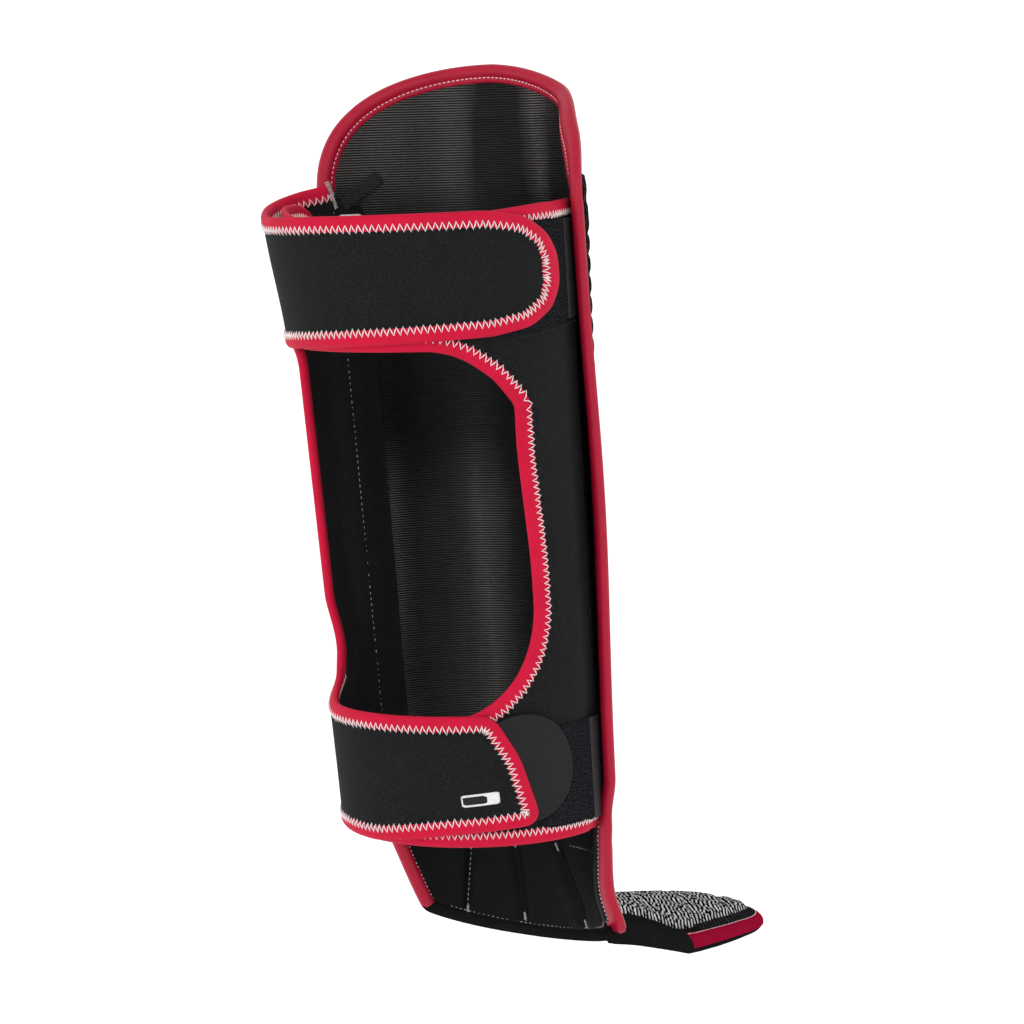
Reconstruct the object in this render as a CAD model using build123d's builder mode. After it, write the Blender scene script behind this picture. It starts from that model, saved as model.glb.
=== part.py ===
"""Shin-and-instep guard for striking sports, worn on the right leg.

Row frame: +Z runs up the leg, -Y is the front of the shin, -X is the outer side of the leg.
The origin is on the leg's axis at the ankle. Every wall follows one tapering elliptical
cone, the inner surface of the guard, and is placed on it by three numbers: the angle round
the leg (0 at the front, positive towards -X), the height, and the offset out of the cone.
"""
import os
from math import cos, pi, sin

from build123d import *

# Driving dimensions, millimetres and degrees
panel_height = 405.0
leg_half_width = (56.0, 63.0)  # across the leg, at the ankle and at the top
leg_half_depth = (54.0, 71.0)  # front to back
leg_lean = (0.0, 40.0)  # how far the leg's axis lies behind the origin

panel_edge_angle = 78.0
core_edge_angle = 72.6
binding_width = 8.0
outline_power = 2.7  # squareness of the panel's rounded ends

lining_thickness = 0.7
shell_thickness = 1.0
foam_growth = (1.9, 10.0)  # foam's outer face beyond the cone, at the sides and at the front
wing_offsets = (-2.6, -0.05)
wing_binding_offsets = (-2.9, 0.3)
loop_patch_offsets = (0.0, 0.5)
hook_patch_offsets = (0.9, 1.3)
strap_offsets = (1.35, 4.0)
strap_binding_offsets = (1.0, 4.3)
tab_offsets = (0.9, 2.5)
label_thickness = 0.3

wing_bottom, wing_top = 70.0, 349.0
window_bottom, window_top = 129.0, 290.5
upper_strap_top = 346.0
upper_strap_tip = (62.0, 321.0)  # centre of the round tip, in the side view
upper_strap_tip_radius = 25.0
upper_strap_bottoms = (296.0, 290.5, 287.0)  # at the tip, at the calf, at the hinge
lower_strap_top = 128.5
lower_strap_bottoms = (79.7, 74.5, 72.5)
upper_hinge_angle = 254.0
lower_hinge_angle = 244.0
hinge_gap = 0.2  # degrees on each side of a strap's hinge line

instep_half_width = 49.0
instep_stations = (-68.0, -110.0, -170.0, -222.0)  # from the crease to the toe, along Y
instep_edge_heights = (-6.0, -15.0, -21.0, -27.5)
instep_crown_heights = (21.0, 10.0, -4.0, -16.5)
instep_toe_radius = 34.0
instep_depth = 9.0  # from the top face to the underside
toe_binding_start = -110.0
toe_binding_width = 6.0

reach = 130.0  # longer than any part is wide, for cutting prisms


def between(pair, height):
    """Value at a height, from its values at the ankle and at the top."""
    return pair[0] + (pair[1] - pair[0]) * height / panel_height


def band(height, first, last, inner, outer):
    """Cross-section of a wall: two elliptical arcs from one angle to the other.

    inner and outer are offsets out of the cone: one number, or one for the sides and one
    for the front.
    """
    arcs = []
    with BuildSketch(Plane.XY.offset(height)) as section:
        with BuildLine():
            for growth in (inner, outer):
                sides, front = growth if isinstance(growth, tuple) else (growth, growth)
                arc = EllipticalCenterArc(
                    (0, between(leg_lean, height)),
                    between(leg_half_width, height) + sides,
                    between(leg_half_depth, height) + front,
                    start_angle=270 - last,
                    arc_size=last - first,
                )
                arcs.append(arc)
            Line(arcs[0] @ 0, arcs[1] @ 0)
            Line(arcs[0] @ 1, arcs[1] @ 1)
        make_face()
    return section.sketch


def wall(first, last, bottom, top, inner, outer, mode=Mode.ADD):
    """Curved wall between two heights, added to the part being built."""
    ends = [band(height, first, last, inner, outer) for height in (bottom, top)]
    loft(sections=ends, ruled=True, mode=mode)


def rounded_end(half_width, start, depth):
    """Points of a panel end seen from the front: a flattened arch from side to side."""
    steps = 12
    points = []
    for step in range(steps + 1):
        angle = pi * step / steps
        across = abs(cos(angle)) ** (2 / outline_power) * (1 if cos(angle) > 0 else -1)
        along = abs(sin(angle)) ** (2 / outline_power)
        points.append((half_width * across, start + depth * along))
    return points


def panel_outline(top_half_width, bottom_half_width, inset):
    """Front view of the panel: straight sides, an arch on top and a rounded ankle end."""
    with BuildSketch(Plane.XZ) as outline:
        with BuildLine():
            top = Spline(rounded_end(top_half_width, 352, 56 - inset), tangents=[(0, 1), (0, -1)])
            bottom = Spline(rounded_end(bottom_half_width, 51, inset - 53), tangents=[(0, -1), (0, 1)])
            Line(top @ 0, bottom @ 0)
            Line(top @ 1, bottom @ 1)
        make_face()
    return outline.sketch


def side_view(*points):
    """Polygon in the side view, given as (y, z) points."""
    with BuildSketch(Plane.YZ) as view:
        Polygon(*points, align=None)
    return view.sketch


def window_view(margin):
    """Side view of the wing's edge round the calf window, moved outwards by a margin."""
    with BuildSketch(Plane.YZ) as view:
        with BuildLine():
            FilletPolyline(
                (reach, window_top - 1),
                (92, window_top - 1),
                (57, 267),
                (38.5, window_bottom),
                (reach, window_bottom),
                radius=[30, 10, 60],
            )
            Line((reach, window_top - 1), (reach, window_bottom))
        make_face()
        if margin:
            offset(amount=margin)
    return view.sketch


def upper_strap_view(margin):
    """Side view of the upper strap's outer half: a long band with a round tip."""
    tip_y, tip_z = upper_strap_tip
    tip_bottom, calf_bottom, _ = upper_strap_bottoms
    with BuildSketch(Plane.YZ) as view:
        with Locations(upper_strap_tip):
            Circle(upper_strap_tip_radius - margin)
        Polygon(
            (tip_y, tip_z - upper_strap_tip_radius + margin),
            (tip_y, tip_z + upper_strap_tip_radius - margin),
            (reach, upper_strap_top - margin),
            (reach, calf_bottom + margin),
            (tip_y + 6, tip_bottom - 0.6 + margin),
            align=None,
        )
    return view.sketch


def lower_strap_view(margin):
    """Side view of the lower strap's outer half: a band with a slanted end."""
    tip_bottom, calf_bottom, _ = lower_strap_bottoms
    with BuildSketch(Plane.YZ) as view:
        Polygon(
            (65 + 1.1 * margin, lower_strap_top - margin),
            (42 + 1.1 * margin, tip_bottom + margin),
            (48 + margin, tip_bottom + margin),
            (68, calf_bottom + margin),
            (reach, calf_bottom + margin),
            (reach, lower_strap_top - margin),
            align=None,
        )
        if not margin:
            tip_corners = view.vertices().sort_by(Axis.Y)[:1]
            fillet(tip_corners, radius=3)
    return view.sketch


def instep_arch(station, lower, upper):
    """Cross-section of the instep: an arch between two depths under its top face."""
    arcs = []
    edge = instep_edge_heights[station]
    crown = instep_crown_heights[station]
    with BuildSketch(Plane.XZ.offset(-instep_stations[station])) as section:
        with BuildLine():
            for depth in (lower, upper):
                foot = instep_half_width - depth
                arc = ThreePointArc((-foot, edge), (0, crown - depth), (foot, edge))
                arcs.append(arc)
            Line(arcs[0] @ 0, arcs[1] @ 0)
            Line(arcs[0] @ 1, arcs[1] @ 1)
        make_face()
    return section.sketch


def instep_layer(lower, upper):
    """One layer of the instep from the crease to the toe."""
    stations = range(len(instep_stations))
    loft(sections=[instep_arch(station, lower, upper) for station in stations], ruled=True)


def instep_plan(inset, back):
    """Plan of the instep: straight sides and a toe with large round corners."""
    front = instep_stations[-1] + inset
    half_width = instep_half_width - inset + 1
    with BuildSketch(Plane.XY) as plan:
        with Locations((0, (front + back) / 2)):
            Rectangle(2 * half_width, back - front)
        toe_corners = plan.vertices().sort_by(Axis.Y)[:2]
        fillet(toe_corners, radius=instep_toe_radius - inset)
    return plan.sketch


# Cutting blocks, not written out ------------------------------------------------------------

with BuildPart() as panel_block:  # everything inside the panel's edge
    wall(-core_edge_angle, core_edge_angle, -6, 412, -14, 34)
    extrude(panel_outline(62, 56.5, binding_width), amount=reach, both=True, mode=Mode.INTERSECT)

with BuildPart() as window_block:  # the calf window, to the wing's bound edge
    extrude(window_view(0), amount=-reach)
    extrude(side_view((-50, window_bottom), (-50, window_top), (reach, window_top),
                      (reach, window_bottom)), amount=reach)

with BuildPart() as wing_block:  # the wing inside its bindings
    wall(60, 270, wing_bottom + binding_width, wing_top - binding_width, -12, 12)
    extrude(window_view(binding_width), amount=-reach, mode=Mode.SUBTRACT)
    extrude(side_view((-50, window_bottom - binding_width), (-50, window_top + binding_width),
                      (reach, window_top + binding_width), (reach, window_bottom - binding_width)),
            amount=reach, mode=Mode.SUBTRACT)


def far_edge_view(margin):
    """Side view of what lies behind the far wing's edge at the calf window."""
    return side_view(
        (44 - margin, 288 + margin),
        (39.7 - margin, window_bottom - margin),
        (reach, window_bottom - margin),
        (reach, 288 + margin),
    )


with BuildPart() as far_wing_block:  # the far wing inside its bindings
    wall(-125, -70, lower_strap_bottoms[2] + binding_width, upper_strap_top - binding_width, -12, 12)
    extrude(far_edge_view(binding_width), amount=reach, mode=Mode.SUBTRACT)

upper_strap_blocks = []
lower_strap_blocks = []
for margin in (0, binding_width):
    with BuildPart() as upper_block:
        extrude(upper_strap_view(margin), amount=-reach)
        extrude(
            side_view(
                (reach, upper_strap_top - margin),
                (-20, upper_strap_top - margin),
                (-20, upper_strap_bottoms[2] + margin),
                (46, upper_strap_bottoms[2] + margin),
                (reach, upper_strap_bottoms[1] + margin),
            ),
            amount=reach,
        )
    upper_strap_blocks.append(upper_block.part)
    with BuildPart() as lower_block:
        extrude(lower_strap_view(margin), amount=-reach)
        extrude(
            side_view(
                (reach, lower_strap_top - margin),
                (-20, lower_strap_top - margin),
                (-20, lower_strap_bottoms[2] + margin),
                (40, lower_strap_bottoms[2] + margin),
                (80, lower_strap_bottoms[1] + margin),
                (reach, lower_strap_bottoms[1] + margin),
            ),
            amount=reach,
        )
    lower_strap_blocks.append(lower_block.part)

with BuildPart() as instep_side_block:  # the instep's wedge behind the crease
    extrude(side_view((-67.5, -40), (-67.5, -2), (-84, 32), (-260, 32), (-260, -40)),
            amount=reach, both=True)

with BuildPart() as instep_core_block:  # the instep inside its toe binding
    extrude(instep_plan(toe_binding_width, -60), amount=60, both=True)
    with BuildSketch(Plane.XY) as rear_half:
        with Locations((0, (toe_binding_start - 60) / 2)):
            Rectangle(2 * instep_half_width + 2, -60 - toe_binding_start)
    extrude(rear_half.sketch, amount=60, both=True)
    add(instep_side_block.part, mode=Mode.INTERSECT)


# Panel: lining, foam, shell, pads and edge --------------------------------------------------

with BuildPart() as lining:
    wall(-76, 76, 72, 412, 0, lining_thickness)
    add(panel_block.part, mode=Mode.INTERSECT)

with BuildPart() as ankle_lining:
    wall(-76, 76, -6, 72, 0, lining_thickness)
    add(panel_block.part, mode=Mode.INTERSECT)

foam_inner = lining_thickness
with BuildPart() as shin_foam:
    wall(-76, 76, -6, 412, foam_inner, foam_growth)
    add(panel_block.part, mode=Mode.INTERSECT)

shell_growth = (foam_growth[0] + 0.8 * shell_thickness, foam_growth[1] + shell_thickness)
with BuildPart() as outer_shell:
    wall(-76, 76, -6, 412, foam_growth, shell_growth)
    add(panel_block.part, mode=Mode.INTERSECT)

with BuildPart() as shin_bar:
    wall(-27, 27, 30, 392, shell_growth, (shell_growth[0] + 3, shell_growth[1] + 8))
    with BuildSketch(Plane.XZ) as bar_view:
        with Locations((0, 211)):
            SlotOverall(356, 46, rotation=90)
    extrude(bar_view.sketch, amount=reach, both=True, mode=Mode.INTERSECT)

side_pads = {}
for pad_name, first, last in (("outer_side_pad", 31, 64), ("inner_side_pad", -64, -31)):
    with BuildPart() as side_pad:
        wall(first, last, 84, 368, shell_growth, (shell_growth[0] + 1.6, shell_growth[1] + 2.5))
    side_pads[pad_name] = side_pad

with BuildPart() as edge_piping:
    wall(-panel_edge_angle, panel_edge_angle, 17, 412, 0, 4.4)
    extrude(panel_outline(69, 60, 0), amount=reach, both=True, mode=Mode.INTERSECT)
    add(panel_block.part, mode=Mode.SUBTRACT)

with BuildPart() as ankle_rim:
    wall(-panel_edge_angle, panel_edge_angle, -6, 17, 0, (3.4, 11.5))
    extrude(panel_outline(69, 60, 0), amount=reach, both=True, mode=Mode.INTERSECT)
    add(panel_block.part, mode=Mode.SUBTRACT)


# Wings, sewn inside the panel's edges -------------------------------------------------------

with BuildPart() as near_wing:
    wall(66, 275, wing_bottom, wing_top, *wing_offsets)
    add(window_block.part, mode=Mode.SUBTRACT)
    add(wing_block.part, mode=Mode.INTERSECT)

with BuildPart() as near_wing_binding:
    wall(66, 275, wing_bottom, wing_top, *wing_binding_offsets)
    add(window_block.part, mode=Mode.SUBTRACT)
    add(wing_block.part, mode=Mode.SUBTRACT)
    wall(60, 79, 0, 400, -0.05, 2, mode=Mode.SUBTRACT)

with BuildPart() as upper_loop_patch:
    wall(79, 112, 300, 340.5, *loop_patch_offsets)

with BuildPart() as lower_loop_patch:
    wall(79, 114, 79, 120.5, *loop_patch_offsets)

with BuildPart() as far_seam_flange:
    wall(-76, -62, 71, 348, -1.1, -0.05)

far_angle_upper = upper_hinge_angle - 360 + hinge_gap
far_angle_lower = lower_hinge_angle - 360 + hinge_gap
far_wings = {}
for wing_name, offsets in (("far_wing", strap_offsets), ("far_wing_binding", strap_binding_offsets)):
    with BuildPart() as far_part:
        wall(far_angle_lower, -79, lower_strap_bottoms[2], upper_strap_top, *offsets)
        wall(far_angle_lower - 20, far_angle_upper, 280, 360, -12, 20, mode=Mode.SUBTRACT)
        extrude(far_edge_view(0), amount=reach, mode=Mode.SUBTRACT)
        keep = Mode.INTERSECT if wing_name == "far_wing" else Mode.SUBTRACT
        add(far_wing_block.part, mode=keep)
    far_wings[wing_name] = far_part

with BuildPart() as care_label:
    wall(-58, -46, 334, 352, -0.35, -0.05)

with BuildPart() as pull_ribbon:
    wall(-66.5, -60, 350, 366, -1.6, -0.4)


# Straps, each a long band round the calf ----------------------------------------------------

strap_end = -hinge_gap
straps = {}
for strap_name, hinge_angle, first, top, bottom, blocks in (
    ("upper_strap", upper_hinge_angle, 88, upper_strap_top, 280, upper_strap_blocks),
    ("lower_strap", lower_hinge_angle, 112, lower_strap_top, 68, lower_strap_blocks),
):
    with BuildPart() as strap_band:
        wall(first, hinge_angle + strap_end, bottom, top + 4, *strap_offsets)
        add(blocks[1], mode=Mode.INTERSECT)
    straps[strap_name] = strap_band
    with BuildPart() as strap_binding:
        wall(first, hinge_angle + strap_end, bottom, top + 4, *strap_binding_offsets)
        add(blocks[0], mode=Mode.INTERSECT)
        add(blocks[1], mode=Mode.SUBTRACT)
    straps[strap_name + "_binding"] = strap_binding

with BuildPart() as upper_hook_patch:
    wall(112, 134, 306, 336, *hook_patch_offsets)

with BuildPart() as lower_hook_patch:
    wall(158, 176, 88.5, 108, *hook_patch_offsets)

with BuildPart() as woven_label:
    wall(142, 152, 88.5, 95.5, strap_offsets[1] + 0.05, strap_offsets[1] + 0.05 + label_thickness)

with BuildPart() as grab_tab:
    wall(96, 150, 76, 132, *tab_offsets)
    with BuildSketch(Plane.YZ) as tab_view:
        with Locations((50, 104)):
            Circle(24)
        Polygon((64, lower_strap_top), (41, 79.7), (41, 60), (110, 60), (110, lower_strap_top),
                align=None, mode=Mode.SUBTRACT)
    extrude(tab_view.sketch, amount=-reach, mode=Mode.INTERSECT)


# Instep: cover, foam, lining, woven pad, toe binding and foot strap -------------------------

instep_layers = {}
for layer_name, lower, upper in (
    ("instep_cover", 1.2, 0.0),
    ("instep_foam", 8.0, 1.2),
    ("instep_lining", instep_depth, 8.0),
):
    with BuildPart() as layer:
        instep_layer(lower, upper)
        add(instep_core_block.part, mode=Mode.INTERSECT)
    instep_layers[layer_name] = layer

with BuildPart() as instep_pad:
    instep_layer(0.0, -4.5)
    extrude(instep_plan(14, -60), amount=60, both=True, mode=Mode.INTERSECT)
    extrude(side_view((-76, -40), (-76, 0), (-88, 40), (-260, 40), (-260, -40)),
            amount=reach, both=True, mode=Mode.INTERSECT)

with BuildPart() as toe_binding:
    instep_layer(instep_depth, 0.0)
    extrude(instep_plan(0, toe_binding_start), amount=60, both=True, mode=Mode.INTERSECT)
    add(instep_core_block.part, mode=Mode.SUBTRACT)

foot_strap_thickness = 1.6
with BuildPart() as foot_strap:
    extrude(side_view((-102, -15.2), (-142, -18.8), (-142, -18.8 - foot_strap_thickness),
                      (-102, -15.2 - foot_strap_thickness)), amount=46, both=True)


pieces = {
    "lining": lining,
    "ankle_lining": ankle_lining,
    "shin_foam": shin_foam,
    "outer_shell": outer_shell,
    "shin_bar": shin_bar,
    **side_pads,
    "edge_piping": edge_piping,
    "ankle_rim": ankle_rim,
    "near_wing": near_wing,
    "near_wing_binding": near_wing_binding,
    "upper_loop_patch": upper_loop_patch,
    "lower_loop_patch": lower_loop_patch,
    "far_seam_flange": far_seam_flange,
    **far_wings,
    "care_label": care_label,
    "pull_ribbon": pull_ribbon,
    **straps,
    "upper_hook_patch": upper_hook_patch,
    "lower_hook_patch": lower_hook_patch,
    "woven_label": woven_label,
    "grab_tab": grab_tab,
    **instep_layers,
    "instep_pad": instep_pad,
    "toe_binding": toe_binding,
    "foot_strap": foot_strap,
}
os.makedirs("parts", exist_ok=True)
for name, piece in pieces.items():
    piece.part.label = name
    export_step(piece.part, f"parts/{name}.step")
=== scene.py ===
"""Looks of the shin-and-instep guard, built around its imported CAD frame.

Everything on the leg is drawn on the same tapering elliptical cone as the CAD part. A piece is
first laid out flat, in millimetres: `across` is the distance round the leg and `up` the height.
A `Fold` turns a flat point and its height over the cone into a point in the row frame, in metres.
"""
import math

import bmesh
import bpy
import numpy as np
from mathutils import Matrix, Vector, noise
from mathutils.geometry import delaunay_2d_cdt


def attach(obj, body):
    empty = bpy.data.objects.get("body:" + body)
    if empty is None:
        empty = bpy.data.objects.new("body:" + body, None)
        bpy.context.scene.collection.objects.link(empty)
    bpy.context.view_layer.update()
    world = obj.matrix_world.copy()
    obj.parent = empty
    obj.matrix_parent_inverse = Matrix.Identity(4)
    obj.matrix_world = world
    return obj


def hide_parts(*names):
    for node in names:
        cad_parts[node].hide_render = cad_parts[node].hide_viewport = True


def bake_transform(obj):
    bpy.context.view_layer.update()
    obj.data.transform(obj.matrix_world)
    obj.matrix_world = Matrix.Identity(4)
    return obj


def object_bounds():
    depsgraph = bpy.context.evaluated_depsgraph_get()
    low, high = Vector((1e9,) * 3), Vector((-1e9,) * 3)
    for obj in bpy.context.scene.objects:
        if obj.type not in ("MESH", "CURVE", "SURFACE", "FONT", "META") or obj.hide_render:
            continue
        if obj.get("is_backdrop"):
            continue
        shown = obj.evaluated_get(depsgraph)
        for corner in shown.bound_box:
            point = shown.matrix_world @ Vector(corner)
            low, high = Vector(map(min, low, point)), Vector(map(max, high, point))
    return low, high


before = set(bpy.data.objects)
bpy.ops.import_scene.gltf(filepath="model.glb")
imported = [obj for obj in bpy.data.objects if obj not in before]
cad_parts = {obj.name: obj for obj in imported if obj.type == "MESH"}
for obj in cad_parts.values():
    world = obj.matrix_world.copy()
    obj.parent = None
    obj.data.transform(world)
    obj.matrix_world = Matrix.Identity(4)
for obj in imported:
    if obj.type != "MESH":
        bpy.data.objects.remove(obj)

cad_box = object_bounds()

MM = 0.001

# The leg's cone, in millimetres: at the ankle and at the panel's top ------------------------
PANEL_HEIGHT = 405.0
LEG_HALF_WIDTH = (56.0, 63.0)
LEG_HALF_DEPTH = (54.0, 71.0)
LEG_LEAN = (0.0, 40.0)

# Layers, as offsets out of the cone
WING = (-2.6, -0.05)
STRAP = (1.35, 4.0)
BINDING_SWELL = 0.5
BINDING_WIDTH = 6.3
STITCH_INSET = 5.1  # middle of the zigzag, from the bound edge
STITCH_REACH = 1.75  # half of the zigzag's width
STITCH_STEP = 1.4  # half of its wavelength
THREAD_RADIUS = 0.26

CLOTH_PRESSURE = 4.0
CLOTH_FRAMES = 20

UPPER_HINGE = 250.0  # angle where the upper strap leaves the far wing
LOWER_HINGE = 244.0
BETWEEN_STRAPS = 207.0  # height half-way between the two straps
WING_ROOT = 66.0  # angle where the near wing is sewn on
FLANGE_END = 297.5  # angle where the far wing's sewn flange ends
FAR_SEAM = 281.0
HINGE_WIDTH = 12.0  # degrees over which a strap turns at its hinge


# Geometry on the cone -----------------------------------------------------------------------

def between(pair, up):
    """Value at a height, from its values at the ankle and at the top."""
    return pair[0] + (pair[1] - pair[0]) * up / PANEL_HEIGHT


def smooth(low, high, value):
    """0 below low, 1 above high, smooth between; low may be the larger one."""
    share = np.clip((np.asarray(value, float) - low) / (high - low), 0, 1)
    return share * share * (3 - 2 * share)


def on_cone(angle, up, offset):
    """Points in the row frame, in metres. offset is out of the cone."""
    turn = np.radians(angle)
    half_width = between(LEG_HALF_WIDTH, up) + offset
    half_depth = between(LEG_HALF_DEPTH, up) + offset
    x = -half_width * np.sin(turn)
    y = between(LEG_LEAN, up) - half_depth * np.cos(turn)
    return np.stack([x, y, up + 0 * x], -1) * MM


class Fold:
    """Wraps a flat layout round the leg. `middle` is the angle at the layout's zero."""

    def __init__(self, middle=0.0, lift=None):
        self.middle = middle
        self.lift = lift  # extra offset, from angle and height

    def spread(self, up):
        """Millimetres round the leg per degree."""
        return np.radians(between((55.0, 67.0), up) + 1.5)

    def flat(self, angle, up):
        return ((angle - self.middle) * self.spread(up), up)

    def angle(self, across, up):
        return across / self.spread(up) + self.middle

    def __call__(self, across, up, offset):
        angle = self.angle(across, up)
        raised = offset + (self.lift(angle, up) if self.lift else 0)
        return on_cone(angle, up, raised)


def ridge(value, at, width):
    """1 where value is at, falling to 0 within about twice the width."""
    return np.exp(-((value - at) / width) ** 2)


def flare(angle, up):
    """The far side stands away from the calf at the upper strap's top edge."""
    around = smooth(278, 255, angle) * smooth(120, 205, angle)
    return 4.6 * around * smooth(282, 346, up)


def wing_lift(angle, up):
    """The far wing dives inside the panel's edge, where it is sewn to the lining."""
    dive = 4.4 * smooth(268, 280, angle) - 1.7 * smooth(286, 296, angle)
    seam = 0.5 * ridge(angle, FAR_SEAM, 1.1)
    pinch = 4.4 * smooth(124, 139, up) * smooth(174, 146, up) * smooth(282, 262, angle)
    return flare(angle, up) - dive + seam - pinch * smooth(205, 235, angle)


def half_angle(up):
    """Angle from the panel's middle to its side edge."""
    sides = np.interp(up, [17.0, 62.0, 350.0], [60.3, 76.5, 79.5])
    share = np.clip((np.asarray(up, float) - 350) / 58, 0, 1)
    return np.where(share > 0, 85.0 * (1 - share ** 1.62) ** 0.617 - 6, sides)


def near_tuck(up):
    """How far the panel's near side is drawn in towards the leg."""
    upper = 5.6 * smooth(344, 400, up)
    lower = 2.5 * smooth(92, 72, up) + 2.8 * smooth(72, 33, up) - 2.4 * smooth(34, 15, up)
    return 2.0 + upper + lower


def near_wing_lift(angle, up):
    """The near wing starts on the panel and comes back out to the leg's cone."""
    return (1.4 * smooth(92, 72, up) - near_tuck(up)) * smooth(94, 80, angle)


def panel_lift(angle, up):
    """The panel's side edges turn outwards, and its foot opens over the instep."""
    gap = (half_angle(up) - np.abs(angle)) * 1.08
    near = angle > 0
    edge = 5.0 + 2.6 * ridge(up, 215, 75) + np.where(near, 1.0, 3.0) * smooth(42, 15, up)
    far_share = 0.45 * smooth(60, 120, up) * smooth(350, 300, up)
    edge = edge * np.where(near, 1.0, far_share) * smooth(408, 376, up)
    ends = smooth(92, 74, up) + smooth(340, 362, up)
    reach = 16 - np.where(near, 5.0, 0.0) * ends
    tuck = near_tuck(up) * smooth(30, 60, angle)
    return edge * smooth(reach, 0 * reach, gap) + 2.0 * smooth(52, 14, up) - tuck


# Flat layout --------------------------------------------------------------------------------

def rounded(corners, closed, step=1.6):
    """Evenly spaced points of a path through corners (across, up, radius)."""
    points = []
    count = len(corners)
    for i, (x, y, radius) in enumerate(corners):
        here = np.array([x, y], float)
        if radius <= 0 or (not closed and i in (0, count - 1)):
            points.append(here)
            continue
        before = np.array(corners[i - 1][:2], float) - here
        after = np.array(corners[(i + 1) % count][:2], float) - here
        a, b = before / np.linalg.norm(before), after / np.linalg.norm(after)
        half = math.acos(np.clip(a @ b, -1, 1)) / 2
        reach = radius / math.tan(half)
        centre = here + (a + b) / np.linalg.norm(a + b) * radius / math.sin(half)
        start, end = here + a * reach - centre, here + b * reach - centre
        angle = math.atan2(start[0] * end[1] - start[1] * end[0], start @ end)
        steps = max(3, int(abs(angle) * radius / step))
        for k in range(steps + 1):
            turn = angle * k / steps
            spin = np.array([[math.cos(turn), -math.sin(turn)], [math.sin(turn), math.cos(turn)]])
            points.append(centre + spin @ start)
    return resample(np.array(points), step, closed)


def resample(points, step, closed=False):
    """The same path with evenly spaced points."""
    if closed:
        points = np.vstack([points, points[:1]])
    lengths = np.r_[0, np.cumsum(np.linalg.norm(np.diff(points, axis=0), axis=1))]
    count = max(2, int(round(lengths[-1] / step)) + 1)
    at = np.linspace(0, lengths[-1], count)
    path = np.stack([np.interp(at, lengths, points[:, k]) for k in (0, 1)], -1)
    return path[:-1] if closed else path


def inward(path, closed=False):
    """Unit normals of a path that runs with the piece on its left."""
    d = np.roll(path, -1, 0) - np.roll(path, 1, 0) if closed else np.gradient(path, axis=0)
    d = d / np.maximum(np.linalg.norm(d, axis=1), 1e-9)[:, None]
    return np.stack([-d[:, 1], d[:, 0]], -1)


def stretches(path, value, closed=True):
    """Open runs of a path where value(points) is positive, cut exactly where it is 0."""
    score = value(path)
    if closed:
        if (score > 0).all():
            return [path]
        first = int(np.flatnonzero(score <= 0)[0])
        order = np.arange(first, first + len(path) + 1) % len(path)
        path, score = path[order], score[order]
    runs, run = [], []
    for k, point in enumerate(path):
        if score[k] > 0:
            run.append(point)
        if k + 1 < len(path) and (score[k] > 0) != (score[k + 1] > 0):
            share = score[k] / (score[k] - score[k + 1])
            run.append(point + share * (path[k + 1] - point))
            if score[k] > 0:
                runs.append(np.array(run))
                run = []
    if len(run) > 2:
        runs.append(np.array(run))
    return runs


def longest(path, value):
    """The stretch of a closed path with the most points."""
    return max(stretches(path, value), key=len)


def refine(loop, step):
    """The same closed loop with its long edges divided."""
    points = []
    for a, b in zip(loop, np.roll(loop, -1, 0)):
        count = max(1, int(round(np.linalg.norm(b - a) / step)))
        points += [a + (b - a) * k / count for k in range(count)]
    return np.array(points)


def counter_clockwise(loop):
    x, y = loop[:, 0], loop[:, 1]
    area = 0.5 * np.sum(x * np.roll(y, -1) - y * np.roll(x, -1))
    return loop if area > 0 else loop[::-1]


def distance_to(points, path, closed=True):
    """Distance of each point to a path."""
    best = np.full(len(points), 1e9)
    starts, ends = (path, np.roll(path, -1, 0)) if closed else (path[:-1], path[1:])
    for a, b in zip(starts, ends):
        ab = b - a
        length = max(ab @ ab, 1e-12)
        share = np.clip((points - a) @ ab / length, 0, 1)
        gap = points - a - share[:, None] * ab
        best = np.minimum(best, np.einsum("ij,ij->i", gap, gap))
    return np.sqrt(best)


def inside(points, loop):
    """Which points lie inside a closed loop."""
    result = np.zeros(len(points), bool)
    x, y = points[:, 0], points[:, 1]
    for (x0, y0), (x1, y1) in zip(loop, np.roll(loop, -1, 0)):
        crosses = (y0 > y) != (y1 > y)
        at = x0 + (x1 - x0) * (y - y0) / (y1 - y0 + 1e-12)
        result ^= crosses & (x < at)
    return result


def grow(loop, amount):
    """A closed counter-clockwise loop moved inwards by an amount (outwards if negative)."""
    moved = loop + inward(loop, True) * amount
    if amount <= 0:
        return moved
    keep = distance_to(moved, loop) > amount * 0.97
    return moved[keep]


# Meshes -------------------------------------------------------------------------------------

def mesh_object(name, points, faces, flat=None):
    """Mesh object at the origin, with its flat layout in centimetres as UVs."""
    mesh = bpy.data.meshes.new(name)
    mesh.from_pydata([tuple(p) for p in np.asarray(points, float)], [], [tuple(f) for f in faces])
    mesh.validate()
    if flat is not None:
        layer = mesh.uv_layers.new(name="flat")
        corners = np.zeros(len(mesh.loops), int)
        mesh.loops.foreach_get("vertex_index", corners)
        layer.data.foreach_set("uv", (np.asarray(flat, float)[corners] * 0.1).ravel())
    tidy = bmesh.new()
    tidy.from_mesh(mesh)
    bmesh.ops.recalc_face_normals(tidy, faces=tidy.faces)
    tidy.to_mesh(mesh)
    tidy.free()
    mesh.polygons.foreach_set("use_smooth", [True] * len(mesh.polygons))
    piece = bpy.data.objects.new(name, mesh)
    bpy.context.scene.collection.objects.link(piece)
    return piece


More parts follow.
